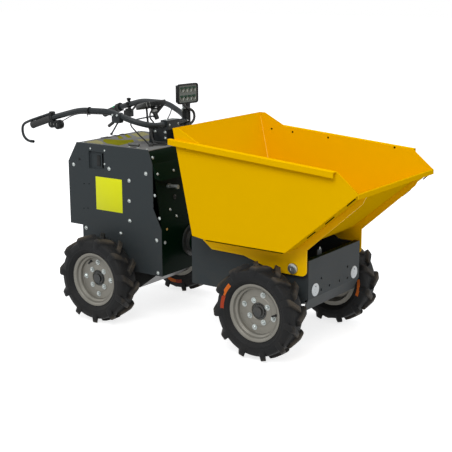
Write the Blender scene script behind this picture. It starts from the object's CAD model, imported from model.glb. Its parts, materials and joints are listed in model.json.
"""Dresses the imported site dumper: finishes, tyres, rims, bolts, skip, controls, lamp and studio.

The frame is in metres: +X towards the skip, +Y to the machine's left and +Z up. Sizes of small
parts are in millimetres. Their places count from the rear axle, the middle plane and the
ground, and Datum turns them into the frame.
"""

import json
import logging
import math
from dataclasses import dataclass
from enum import Enum
from typing import Callable, Sequence

import bmesh
import bpy
from mathutils import Matrix, Vector


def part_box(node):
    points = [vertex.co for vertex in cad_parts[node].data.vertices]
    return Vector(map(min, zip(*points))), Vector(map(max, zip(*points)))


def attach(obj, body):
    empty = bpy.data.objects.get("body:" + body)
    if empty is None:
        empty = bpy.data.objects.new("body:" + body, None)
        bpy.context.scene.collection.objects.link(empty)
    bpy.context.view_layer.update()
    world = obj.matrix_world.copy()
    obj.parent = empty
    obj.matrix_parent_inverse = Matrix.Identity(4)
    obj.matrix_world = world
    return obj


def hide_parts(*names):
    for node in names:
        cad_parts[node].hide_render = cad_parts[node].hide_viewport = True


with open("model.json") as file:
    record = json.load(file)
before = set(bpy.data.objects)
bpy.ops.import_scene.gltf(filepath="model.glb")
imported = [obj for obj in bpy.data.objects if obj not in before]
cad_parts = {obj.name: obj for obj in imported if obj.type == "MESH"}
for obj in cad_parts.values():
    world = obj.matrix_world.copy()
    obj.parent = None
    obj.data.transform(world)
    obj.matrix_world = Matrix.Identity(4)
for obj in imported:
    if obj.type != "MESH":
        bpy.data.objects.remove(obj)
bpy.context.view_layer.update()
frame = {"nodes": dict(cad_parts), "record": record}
MM = 0.001
LOG = logging.getLogger("site_dumper")

Point = tuple[float, float, float]
Colour = tuple[float, float, float]
Profile = Sequence[tuple[float, float]]
Socket = bpy.types.NodeSocket


# ---------------------------------------------------------------- places
@dataclass(frozen=True)
class Datum:
    """Turns millimetres from the rear axle, the middle plane and the ground into the frame.

    Attributes:
        axle_x: the rear axle's X in the frame, in metres.
    """

    axle_x: float

    @classmethod
    def read(cls) -> "Datum":
        """Read the rear axle's place from a packed rim."""
        low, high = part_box("rim_rear_right")
        return cls(axle_x=(low[0] + high[0]) / 2)

    def at(self, x: float, y: float, z: float) -> Vector:
        """Place a point: millimetres ahead of the axle, to the left and above the ground."""
        return Vector((self.axle_x + x * MM, y * MM, z * MM))


DATUM = Datum.read()


# ---------------------------------------------------------------- shared node groups
class Group(Enum):
    """The shared shader groups and geometry trees, by the name of their node tree."""

    TONE = "uneven_tone"
    GRAIN = "fine_grain"
    WEAR = "edge_wear"
    DUST = "settled_dust"
    RING = "ring_of_items"
    SPOTS = "items_on_spots"


class TreeBuilder:
    """Adds and links nodes in one node tree, from left to right."""

    def __init__(self, tree: bpy.types.NodeTree) -> None:
        """Keep the tree to fill."""
        self.tree = tree
        self.column = 0

    @classmethod
    def afresh(cls, owner: bpy.types.Material | bpy.types.World) -> "TreeBuilder":
        """Empty the tree of a material or world.

        Args:
            owner: the material or world.

        Returns:
            The builder of its tree.
        """
        owner.use_nodes = True
        owner.node_tree.nodes.clear()
        return cls(owner.node_tree)

    def feed(self, node: bpy.types.Node, values: dict[int | str, object]) -> None:
        """Link or set inputs of a node.

        Args:
            node: the node.
            values: a socket to link or a value to set, by the input's name or number.
        """
        for key, value in values.items():
            if isinstance(value, Socket):
                self.tree.links.new(value, node.inputs[key])
            else:
                node.inputs[key].default_value = value

    def add(self, kind: str, **settings: object) -> bpy.types.Node:
        """Add a node.

        Args:
            kind: the node's type name.
            **settings: attributes of the node, and its inputs through "inputs".

        Returns:
            The new node.
        """
        node = self.tree.nodes.new(kind)
        self.column += 1
        node.location = (self.column * 180, 0)
        inputs = settings.pop("inputs", {})
        for key, value in settings.items():
            setattr(node, key, value)
        self.feed(node, inputs)
        return node

    def math(self, operation: str, *values: object, clamp: bool = False) -> Socket:
        """Add a Math node on sockets or numbers."""
        return self.add("ShaderNodeMath", operation=operation, use_clamp=clamp,
                        inputs=dict(enumerate(values))).outputs[0]

    def mix(self, factor: object, first: object, second: object) -> Socket:
        """Mix two colours, a factor of 0 giving the first."""
        return self.add("ShaderNodeMix", data_type="RGBA",
                        inputs={0: factor, 6: first, 7: second}).outputs[2]

    def ramp(self, value: Socket, low: float, high: float) -> Socket:
        """Stretch a value so that low becomes 0 and high becomes 1, clamped."""
        return self.add("ShaderNodeMapRange", clamp=True, inputs={
            "Value": value, "From Min": low, "From Max": high}).outputs["Result"]

    def group(self, kind: Group, inputs: dict[str, object]) -> bpy.types.Node:
        """Place a shared shader group with its own values."""
        return self.add(
            "ShaderNodeGroup", node_tree=bpy.data.node_groups[kind.value], inputs=inputs)


class GroupBuilder(TreeBuilder):
    """Fills one shared group between its input and output nodes."""

    def __init__(self, tree: bpy.types.NodeTree) -> None:
        """Add the group's input and output nodes."""
        super().__init__(tree)
        self.given = self.add("NodeGroupInput").outputs
        self.end = self.add("NodeGroupOutput")

    def place(self) -> Socket:
        """Add the piece's own coordinates."""
        return self.add("ShaderNodeTexCoord").outputs["Object"]

    def noise(self, place: Socket, scale: object, detail: float, roughness: float) -> Socket:
        """Add noise."""
        return self.add("ShaderNodeTexNoise", inputs={
            "Vector": place, "Scale": scale, "Detail": detail,
            "Roughness": roughness}).outputs["Fac"]

    def mask(self, where: Socket, broken: Socket) -> None:
        """Put out a mask: a place times its patches times the amount."""
        both = self.math("MULTIPLY", where, broken)
        self.feed(self.end, {"Mask": self.math("MULTIPLY", both, self.given["Amount"], clamp=True)})

    def tone(self) -> None:
        """Vary a colour a little in soft patches."""
        noise = self.noise(self.place(), self.given["Scale"], 4, 0.55)
        shift = self.math("MULTIPLY", self.math("SUBTRACT", noise, 0.5), self.given["Spread"])
        hsv = self.add("ShaderNodeHueSaturation", inputs={
            "Value": self.math("ADD", shift, 1), "Color": self.given["Color"]})
        self.feed(self.end, {"Color": hsv.outputs["Color"], "Patches": noise})

    def grain(self) -> None:
        """Give the fine height of powder coat, rubber or cast metal."""
        place, scale = self.place(), self.given["Scale"]
        fine = self.noise(place, scale, 3, 0.6)
        coarse = self.noise(place, self.math("MULTIPLY", scale, 0.12), 2, 0.5)
        weighted = self.math("MULTIPLY", coarse, self.given["Waviness"])
        self.feed(self.end, {"Height": self.math("ADD", fine, weighted)})

    def wear(self) -> None:
        """Find outer edges, broken up by noise, where a finish is rubbed."""
        bevel = self.add("ShaderNodeBevel", samples=4, inputs={"Radius": self.given["Radius"]})
        dot = self.add("ShaderNodeVectorMath", operation="DOT_PRODUCT", inputs={
            0: self.add("ShaderNodeNewGeometry").outputs["Normal"], 1: bevel.outputs["Normal"]})
        edge = self.ramp(self.math("SUBTRACT", 1, dot.outputs["Value"]), 0.02, 0.25)
        noise = self.noise(self.place(), self.given["Break Up"], 5, 0.7)
        self.mask(edge, self.ramp(noise, 0.45, 0.62))

    def dust(self) -> None:
        """Find where dust lies: low down, on faces that look up, in soft patches."""
        place, normal = self.place(), self.add("ShaderNodeNewGeometry").outputs["Normal"]
        height, facing = (
            self.add("ShaderNodeSeparateXYZ", inputs={"Vector": vector}).outputs["Z"]
            for vector in (place, normal))
        low = self.math("DIVIDE", height, self.given["Height"])
        near_ground = self.math("SUBTRACT", 1, low, clamp=True)
        up = self.math("MULTIPLY", facing, 0.5, clamp=True)
        patches = self.ramp(self.noise(place, 18, 6, 0.65), 0.38, 0.68)
        self.mask(self.math("ADD", near_ground, up, clamp=True), patches)

    def item(self) -> Socket:
        """Add the item that a geometry tree repeats."""
        return self.add("GeometryNodeObjectInfo", inputs={
            "Object": self.given["Item"], "As Instance": True}).outputs["Geometry"]

    def ring(self) -> None:
        """Repeat the item about the Y axis and join it to the incoming mesh."""
        item, count = self.item(), self.given["Count"]
        points = self.add("GeometryNodeMeshLine", inputs={"Count": count, "Offset": (0, 0, 0)})
        share = self.math("DIVIDE", self.add("GeometryNodeInputIndex").outputs[0], count)
        angle = self.math("MULTIPLY_ADD", share, 2 * math.pi, self.given["Start"])
        turn = self.add("ShaderNodeCombineXYZ", inputs={"Y": angle})
        placed = self.add("GeometryNodeInstanceOnPoints", inputs={
            "Points": points.outputs["Mesh"], "Instance": item, "Rotation": turn.outputs[0]})
        joined = self.add("GeometryNodeJoinGeometry")
        for part in (placed.outputs[0], self.given["Geometry"]):
            self.tree.links.new(part, joined.inputs[0])
        self.grown(joined.outputs[0])

    def spots(self) -> None:
        """Put the item on every point, its Z axis along the point's aim, spun at random."""
        item = self.item()
        aim, size = (
            self.add("GeometryNodeInputNamedAttribute", data_type=kind, inputs={
                "Name": name}).outputs["Attribute"]
            for kind, name in (("FLOAT_VECTOR", "aim"), ("FLOAT", "size")))
        aimed = self.add("FunctionNodeAlignRotationToVector", axis="Z", inputs={"Vector": aim})
        spin = self.add("FunctionNodeRandomValue", data_type="FLOAT", inputs={
            2: 0, 3: 2 * math.pi, "Seed": self.given["Seed"]})
        about = self.add("FunctionNodeAxisAngleToRotation", inputs={
            "Axis": (0, 0, 1), "Angle": spin.outputs[1]})
        turned = self.add("FunctionNodeRotateRotation", rotation_space="LOCAL", inputs={
            "Rotation": aimed.outputs[0], "Rotate By": about.outputs[0]})
        placed = self.add("GeometryNodeInstanceOnPoints", inputs={
            "Points": self.given["Geometry"], "Instance": item,
            "Rotation": turned.outputs[0], "Scale": size})
        self.grown(placed.outputs[0])

    def grown(self, shape: Socket) -> None:
        """Realize the instances and set the material at the end of a geometry tree."""
        real = self.add("GeometryNodeRealizeInstances", inputs={"Geometry": shape})
        self.feed(self.end, {"Geometry": self.add("GeometryNodeSetMaterial", inputs={
            "Geometry": real.outputs[0], "Material": self.given["Material"]}).outputs[0]})


@dataclass(frozen=True)
class Port:
    """One input or output of a group.

    Attributes:
        name: the socket's name.
        kind: the socket's type, as Float or Color.
        default: an input's value where nothing is linked, or None.
    """

    name: str
    kind: str = "Float"
    default: object = None


def make_groups() -> None:
    """Make every shared shader group and geometry tree."""
    mask, shape = [Port("Mask")], [Port("Geometry", "Geometry")]
    item, material = Port("Item", "Object"), Port("Material", "Material")
    # group, its inputs, its outputs, what fills it
    groups = (
        (Group.TONE, [Port("Color", "Color", (0.5, 0.5, 0.5, 1)), Port("Spread", default=0.1),
                      Port("Scale", default=4)],
         [Port("Color", "Color"), Port("Patches")], GroupBuilder.tone),
        (Group.GRAIN, [Port("Scale", default=600), Port("Waviness", default=0.5)],
         [Port("Height")], GroupBuilder.grain),
        (Group.WEAR, [Port("Radius", default=0.002), Port("Break Up", default=40),
                      Port("Amount", default=0.6)], mask, GroupBuilder.wear),
        (Group.DUST, [Port("Height", default=0.5), Port("Amount", default=0.3)], mask,
         GroupBuilder.dust),
        (Group.RING, [*shape, item, Port("Count", "Int"), Port("Start"), material], shape,
         GroupBuilder.ring),
        (Group.SPOTS, [*shape, item, Port("Seed", "Int"), material], shape, GroupBuilder.spots),
    )
    for kind, inputs, outputs, fill in groups:
        tree = bpy.data.node_groups.new(
            kind.value, "GeometryNodeTree" if outputs is shape else "ShaderNodeTree")
        for ports, way in ((inputs, "INPUT"), (outputs, "OUTPUT")):
            for port in ports:
                socket = tree.interface.new_socket(
                    name=port.name, in_out=way, socket_type=f"NodeSocket{port.kind}")
                if port.default is not None:
                    socket.default_value = port.default
        fill(GroupBuilder(tree))


# ---------------------------------------------------------------- finishes
@dataclass(frozen=True)
class Finish:
    """One surface finish, made into a material once and shared by every piece.

    Attributes:
        name: the material's name.
        colour: linear base colour.
        roughness: mean roughness.
        metallic: 1 for bare metal.
        tone_spread: how much the colour varies in soft patches.
        tone_scale: how fine those patches are.
        grain_scale: how fine the grain is, in features per metre.
        grain_height: the grain's depth in metres.
        waviness: share of a coarser wave in the grain.
        wear: how much the outer edges are rubbed.
        wear_radius: width of the rubbed edges in metres.
        wear_colour: linear colour of a rubbed edge.
        dust: how much dust lies on the surface.
        dust_height: how high above the ground the dust reaches, in metres.
        dust_colour: linear colour of the dust.
        coat: weight of a clear coat.
        specular: strength of the reflections of anything but metal.
        scuff: how much the faces marked as scuffed change colour.
        scuff_colour: linear colour of a scuffed face.
    """

    name: str
    colour: Colour
    roughness: float = 0.5
    metallic: float = 0.0
    tone_spread: float = 0.08
    tone_scale: float = 4.0
    grain_scale: float = 900.0
    grain_height: float = 0.00004
    waviness: float = 0.6
    wear: float = 0.0
    wear_radius: float = 0.0015
    wear_colour: Colour = (0.3, 0.3, 0.3)
    dust: float = 0.0
    dust_height: float = 0.6
    dust_colour: Colour = (0.16, 0.125, 0.09)
    coat: float = 0.0
    specular: float = 0.2
    scuff: float = 0.0
    scuff_colour: Colour = (0.075, 0.062, 0.047)

    def material(self) -> bpy.types.Material:
        """Give the finish's material, making it the first time."""
        known = bpy.data.materials.get(self.name)
        return known if known else self.make()

    def make(self) -> bpy.types.Material:
        """Make the material.

        Returns:
            The new material.
        """
        material = bpy.data.materials.new(self.name)
        build = TreeBuilder.afresh(material)
        tone = build.group(Group.TONE, {
            "Color": (*self.colour, 1), "Spread": self.tone_spread, "Scale": self.tone_scale})
        colour, patches = tone.outputs["Color"], tone.outputs["Patches"]
        uneven = build.math("MULTIPLY", build.math("SUBTRACT", patches, 0.5), 0.25)
        rough = build.math("ADD", uneven, self.roughness)
        if self.wear > 0:
            mask = build.group(Group.WEAR, {
                "Radius": self.wear_radius, "Amount": self.wear}).outputs["Mask"]
            colour = build.mix(mask, colour, (*self.wear_colour, 1))
        if self.dust > 0:
            mask = build.group(Group.DUST, {
                "Height": self.dust_height, "Amount": self.dust}).outputs["Mask"]
            colour = build.mix(mask, colour, (*self.dust_colour, 1))
            rough = build.math("ADD", rough, build.math("MULTIPLY", mask, 0.3))
        if self.scuff > 0:
            marked = build.add("ShaderNodeAttribute", attribute_name="scuffed").outputs["Fac"]
            amount = build.math("MULTIPLY", marked, build.ramp(patches, 0.36, 0.60))
            amount = build.math("MULTIPLY", amount, self.scuff, clamp=True)
            colour = build.mix(amount, colour, (*self.scuff_colour, 1))
        grain = build.group(Group.GRAIN, {"Scale": self.grain_scale, "Waviness": self.waviness})
        bump = build.add("ShaderNodeBump", inputs={
            "Strength": 1, "Distance": self.grain_height, "Height": grain.outputs["Height"]})
        shader = build.add("ShaderNodeBsdfPrincipled", inputs={
            "Base Color": colour, "Roughness": rough, "Normal": bump.outputs["Normal"],
            "Metallic": self.metallic, "Specular IOR Level": self.specular,
            "Coat Weight": self.coat, "Coat Roughness": 0.15})
        build.add("ShaderNodeOutputMaterial", inputs={"Surface": shader.outputs["BSDF"]})
        return material


SKIP_YELLOW = Finish(
    "skip_yellow_paint", (0.81, 0.455, 0), roughness=0.48, tone_spread=0.05, grain_scale=500,
    wear=0.22, wear_colour=(0.55, 0.36, 0.06), specular=0)
ANTHRACITE = Finish(
    "anthracite_powder_coat", (0.036, 0.043, 0.046), roughness=0.46, tone_spread=0.10,
    grain_scale=900, wear=0.4, wear_colour=(0.14, 0.16, 0.17), dust=0.10, specular=0.10)
GAP_GREEN = Finish(
    "green_black_paint", (0.0012, 0.0085, 0.0035), roughness=0.34, tone_spread=0.3, wear=0.3,
    wear_colour=(0.05, 0.07, 0.06), specular=0.04)
LID_GREY = Finish(
    "pale_lid_paint", (0.18, 0.177, 0.172), roughness=0.4, tone_spread=0.25, tone_scale=7,
    specular=0)
LID_PATCH = Finish("olive_lid_patch", (0.20, 0.19, 0.012), roughness=0.4, tone_spread=0.3,
                   tone_scale=12, specular=0)
LID_FILM = Finish("straw_lid_film", (0.27, 0.25, 0.125), roughness=0.4, tone_spread=0.2, specular=0)
CRADLE_YELLOW = Finish(
    "cradle_yellow_paint", (1, 0.58, 0), roughness=0.40, tone_spread=0.05,
    grain_scale=500, wear=0.22, wear_colour=(0.55, 0.36, 0.06), specular=0.06)
WELD_YELLOW = Finish("painted_weld", (0.95, 0.60, 0.05), roughness=0.3, specular=0.3)
SHADOW_GAP = Finish("dark_seam", (0.045, 0.030, 0), roughness=0.8, specular=0)
DEEP_BLACK = Finish("deep_black", (0.003, 0.003, 0.003), roughness=0.8, specular=0)
RIM_SILVER = Finish(
    "rim_silver_paint", (0.225, 0.216, 0.188), roughness=0.36, metallic=0.35, tone_spread=0.08,
    grain_scale=700, dust=0.12)
TYRE_RUBBER = Finish(
    "tyre_rubber", (0.014, 0.0145, 0.015), roughness=0.55, specular=0.12, tone_spread=0.25,
    tone_scale=14, grain_scale=450, grain_height=0.00012, dust=0.25, dust_height=0.30,
    dust_colour=(0.045, 0.040, 0.034), scuff=0.9)
ZINC = Finish(
    "zinc_plating", (0.40, 0.43, 0.42), roughness=0.30, metallic=0.8, tone_spread=0.15,
    tone_scale=60)
HUB_STEEL = Finish(
    "oiled_steel", (0.10, 0.105, 0.10), roughness=0.3, metallic=0.6, tone_spread=0.5, tone_scale=30)
BRASS = Finish("brass", (0.55, 0.36, 0.12), roughness=0.3, metallic=1, tone_scale=60)
DARK_CAST = Finish(
    "dark_cast_metal", (0.014, 0.017, 0.017), roughness=0.36, specular=0.5, tone_spread=0.2,
    grain_scale=350, grain_height=0.0002, dust=0.2)
BLACK_TUBE = Finish(
    "black_tube_enamel", (0.016, 0.020, 0.022), roughness=0.34, tone_spread=0.10, wear=0.3,
    wear_colour=(0.12, 0.12, 0.12))
BLACK_RUBBER = Finish(
    "black_rubber", (0.006, 0.006, 0.006), roughness=0.6, grain_scale=600, grain_height=0.0001)
BLACK_PLASTIC = Finish(
    "black_moulded_plastic", (0.007, 0.008, 0.008), roughness=0.42, grain_scale=1400,
    grain_height=0.00005)
SILVER_PLASTIC = Finish("silver_grey_plastic", (0.20, 0.205, 0.195), roughness=0.38)
CAP_GREY = Finish("grey_end_cap", (0.030, 0.031, 0.030), roughness=0.4, tone_spread=0.8,
                  tone_scale=70, specular=0.1)
BUTTON_GREEN = Finish("green_button", (0, 0.30, 0.12), roughness=0.35)
CHROME = Finish("hard_chrome", (0.7, 0.71, 0.72), roughness=0.12, metallic=1, tone_spread=0.03)
LABEL_YELLOW = Finish("lemon_label", (0.78, 0.80, 0.01), roughness=0.35, tone_spread=0.03)
REFLECTOR_WHITE = Finish(
    "white_reflector", (0.60, 0.64, 0.66), roughness=0.25, tone_spread=0.10, tone_scale=90,
    coat=0.5)
STICKER_ORANGE = Finish("orange_patch", (0.62, 0.13, 0.01), roughness=0.45, tone_spread=0.2)
STICKER_RED = Finish("red_patch", (0.36, 0.04, 0.01), roughness=0.45, tone_spread=0.2)
LAMP_BOARD = Finish("green_lamp_board", (0.012, 0.045, 0.024), roughness=0.35)
LAMP_FACE = Finish("grey_lamp_face", (0.13, 0.145, 0.13), roughness=0.3, coat=0.3)
LAMP_CUP = Finish("bright_lamp_cup", (0.27, 0.29, 0.26), roughness=0.3, metallic=0.3,
                  tone_spread=0.6, tone_scale=160)
LAMP_DIODE = Finish("dark_diode", (0.02, 0.025, 0.02), roughness=0.3)

SLOT_FINISHES = {
    "tyre": TYRE_RUBBER, "rim_silver": RIM_SILVER, "skip_yellow": SKIP_YELLOW,
    "anthracite_paint": ANTHRACITE, "lid_grey": LID_GREY, "dark_cast": DARK_CAST, "zinc": ZINC,
    "ram_paint": ANTHRACITE, "ram_chrome": CHROME, "black_tube": BLACK_TUBE,
    "black_rubber": BLACK_RUBBER, "black_plastic": BLACK_PLASTIC, "lamp_black": BLACK_PLASTIC}


# ---------------------------------------------------------------- mesh making
def add_object(name: str, mesh: bpy.types.Mesh, finish: Finish,
               smooth_degrees: float = 35.0) -> bpy.types.Object:
    """Put a mesh in the scene.

    Args:
        name: the piece's name.
        mesh: its mesh, already in place.
        finish: its finish.
        smooth_degrees: edges that turn less than this are shaded smooth.

    Returns:
        The new object.
    """
    piece = bpy.data.objects.new(name, mesh)
    bpy.context.scene.collection.objects.link(piece)
    mesh.materials.clear()
    mesh.materials.append(finish.material())
    mesh.polygons.foreach_set("use_smooth", [True] * len(mesh.polygons))
    mesh.set_sharp_from_angle(angle=math.radians(smooth_degrees))
    return piece


def mesh_from(bm: bmesh.types.BMesh, name: str) -> bpy.types.Mesh:
    """Turn a bmesh into a mesh with outward faces.

    Args:
        bm: the shape, freed here.
        name: the mesh's name.

    Returns:
        The new mesh.
    """
    bmesh.ops.recalc_face_normals(bm, faces=bm.faces)
    mesh = bpy.data.meshes.new(name)
    bm.to_mesh(mesh)
    bm.free()
    return mesh


def grow(piece: bpy.types.Object, kind: Group, mesh: bpy.types.Mesh, finish: Finish,
         **values: float) -> None:
    """Repeat an item on a piece with a geometry tree and keep the result as its plain mesh.

    Args:
        piece: the piece.
        kind: which tree.
        mesh: the item's mesh.
        finish: the finish of it all.
        **values: the tree's numbers by name.
    """
    item = add_object("item", mesh, finish)
    given = {**values, "Item": item, "Material": finish.material()}
    tree = bpy.data.node_groups[kind.value]
    modifier = piece.modifiers.new(kind.value, "NODES")
    modifier.node_group = tree
    for socket in tree.interface.items_tree:
        if socket.in_out == "INPUT" and socket.name in given:
            modifier[socket.identifier] = given[socket.name]
    depsgraph = bpy.context.evaluated_depsgraph_get()
    grown = bpy.data.meshes.new_from_object(
        piece.evaluated_get(depsgraph), preserve_all_data_layers=True, depsgraph=depsgraph)
    piece.modifiers.remove(modifier)
    piece.data = grown
    bpy.data.objects.remove(item)


def round_edges(bm: bmesh.types.BMesh, width: float, segments: int = 2,
                edges: Sequence[bmesh.types.BMEdge] | None = None) -> None:
    """Round some or all edges of a shape by a width in millimetres."""
    bmesh.ops.bevel(
        bm, geom=list(bm.edges) if edges is None else edges, offset=width * MM,
        segments=segments, profile=0.5, affect="EDGES", clamp_overlap=True)


def join_rings(bm: bmesh.types.BMesh, rings: Sequence[Sequence[bmesh.types.BMVert]],
               closed: bool = True) -> None:
    """Join rings of points with faces.

    Args:
        bm: the shape to add to.
        rings: rings of equal length, or single points.
        closed: whether each ring's last point joins its first.
    """
    for here, there in zip(rings, rings[1:]):
        count = max(len(here), len(there))
        for index in range(count if closed else count - 1):
            after = (index + 1) % count
            corners = dict.fromkeys((
                here[index % len(here)], here[after % len(here)],
                there[after % len(there)], there[index % len(there)]))
            if len(corners) > 2:
                bm.faces.new(list(corners))


def skin(bm: bmesh.types.BMesh, rings: Sequence[Sequence[bmesh.types.BMVert]]) -> None:
    """Join closed rings of points with faces and close both ends.

    Args:
        bm: the shape to add to.
        rings: rings of equal length, or single points.
    """
    join_rings(bm, rings)
    for ring in (rings[0], rings[-1]):
        if len(ring) > 2:
            bm.faces.new(ring)


def bent(start: Vector, corner: Vector, end: Vector, steps: int) -> list[Vector]:
    """Give the points of a bend that rounds a corner."""
    shares = [step / steps for step in range(steps + 1)]
    return [(1 - t) ** 2 * start + 2 * t * (1 - t) * corner + t ** 2 * end for t in shares]


def rounded_profile(corners: Sequence[Point], arc_steps: int) -> list[tuple[float, float]]:
    """Round the corners of a closed profile.

    Args:
        corners: (radius, Y, corner radius) of each corner, in millimetres.
        arc_steps: how many steps make each rounded corner.

    Returns:
        The rounded profile as (radius, Y) points.
    """
    points = []
    for index, (r, y, fillet) in enumerate(corners):
        here = Vector((r, y))
        if fillet <= 0:
            points.append((r, y))
            continue
        back = Vector(corners[index - 1][:2]) - here
        ahead = Vector(corners[(index + 1) % len(corners)][:2]) - here
        cosine = back.normalized().dot(ahead.normalized())
        half = math.acos(max(-1, min(1, cosine))) / 2
        reach = min(fillet / math.tan(half), back.length * 0.45, ahead.length * 0.45)
        start, end = here + back.normalized() * reach, here + ahead.normalized() * reach
        points += [(p.x, p.y) for p in bent(start, here, end, arc_steps)]
    return points


def round_axle(radius: float, angle: float, y: float) -> Point:
    """Place a point about the Y axis, given in millimetres and in radians from the top."""
    return radius * math.sin(angle) * MM, y * MM, radius * math.cos(angle) * MM


def turned_ring(corners: Sequence[Point], arc_steps: int, steps: int,
                side: int = 1) -> bmesh.types.BMesh:
    """Turn a closed profile with rounded corners about the Y axis.

    Args:
        corners: (radius, Y, corner radius) of each corner, in millimetres.
        arc_steps: how many steps make each rounded corner.
        steps: how many steps make the turn.
        side: -1 to mirror the profile.

    Returns:
        The ring.
    """
    bm = bmesh.new()
    profile = rounded_profile(corners, arc_steps)
    rings = [[bm.verts.new(round_axle(r, 2 * math.pi * step / steps, side * y))
              for r, y in profile] for step in range(steps)]
    join_rings(bm, [*rings, rings[0]])
    return bm


class Dresser:
    """Gives CAD nodes their finishes and makes edge-rounded copies of them."""

    MERGE = 0.00002  # metres
    FLAT_DEGREES = 0.5
    SHARP_DEGREES = 32

    def __init__(self) -> None:
        """Read which body and slot each node has."""
        record = frame["record"]
        self.slot_of = {part["node"]: part["material_slot"] for part in record["subparts"]}
        bodies = record["behaviour"]["bodies"]
        self.body_of = {node: body for body, nodes in bodies.items() for node in nodes}

    def paint(self, node: str, finish: Finish | None = None) -> None:
        """Give a CAD node its finish.

        Args:
            node: the node's name.
            finish: the finish, or None for its slot's own.
        """
        material = (finish or SLOT_FINISHES[self.slot_of[node]]).material()
        for slot in frame["nodes"][node].material_slots:
            slot.material = material

    def rounded(self, node: str, width: float, finish: Finish | None = None,
                shortest: float = 7.0) -> bpy.types.Object:
        """Stand in for a sheet or block node with a copy whose edges are rounded.

        Args:
            node: the node's name.
            width: how far the rounding reaches from each edge, in millimetres.
            finish: the finish, or None for its slot's own.
            shortest: edges shorter than this many millimetres stay as they are.

        Returns:
            The new piece.
        """
        bm = bmesh.new()
        bm.from_mesh(frame["nodes"][node].data)
        bmesh.ops.remove_doubles(bm, verts=bm.verts, dist=self.MERGE)
        bmesh.ops.dissolve_limit(
            bm, angle_limit=math.radians(self.FLAT_DEGREES), verts=bm.verts, edges=bm.edges)
        round_edges(bm, width, edges=[
            edge for edge in bm.edges if len(edge.link_faces) == 2
            and edge.calc_length() > shortest * MM
            and edge.calc_face_angle() > math.radians(self.SHARP_DEGREES)])
        piece = add_object(
            f"{node}_finished", mesh_from(bm, node), finish or SLOT_FINISHES[self.slot_of[node]])
        piece.modifiers.new("even_shading", "WEIGHTED_NORMAL").keep_sharp = True
        self.seat(piece, node)
        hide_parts(node)
        return piece

    def seat(self, piece: bpy.types.Object, like: str) -> None:
        """Let a piece move and take its slot as a node does."""
        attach(piece, self.body_of[like])


DRESSER = Dresser()


# ---------------------------------------------------------------- solids in millimetres
def smooth_path(points: Sequence[Point], bend: float, steps: int = 6) -> list[Vector]:
    """Round the inner corners of a line.

    Args:
        points: the line's corners.
        bend: how far along both legs each corner is rounded.
        steps: steps in each rounded corner.

    Returns:
        The points of the rounded line.
    """
    corners = [Vector(p) for p in points]
    path = [corners[0]]
    for before, here, after in zip(corners, corners[1:], corners[2:]):
        back, ahead = before - here, after - here
        start = here + back.normalized() * min(bend, back.length * 0.48)
        end = here + ahead.normalized() * min(bend, ahead.length * 0.48)
        path += bent(start, here, end, steps)
    return [*path, corners[-1]]


def even_steps(path: Sequence[Vector], step: float) -> list[Vector]:
    """Divide a line into steps of nearly equal length.

    Args:
        path: the line's points.
        step: the wanted step.

    Returns:
        The new points.
    """
    points, carry = [path[0]], 0
    for start, end in zip(path, path[1:]):
        length = (end - start).length
        reach = step - carry
        while reach < length:
            points.append(start.lerp(end, reach / length))
            reach += step
        carry = length - (reach - step)
    return points


def turn_about(spot: Vector, degrees: float, axis: str) -> Matrix:
    """Give the turn by so many degrees about an axis of the frame through a spot."""
    return (Matrix.Translation(spot) @ Matrix.Rotation(math.radians(degrees), 4, axis)
            @ Matrix.Translation(-spot))


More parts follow.
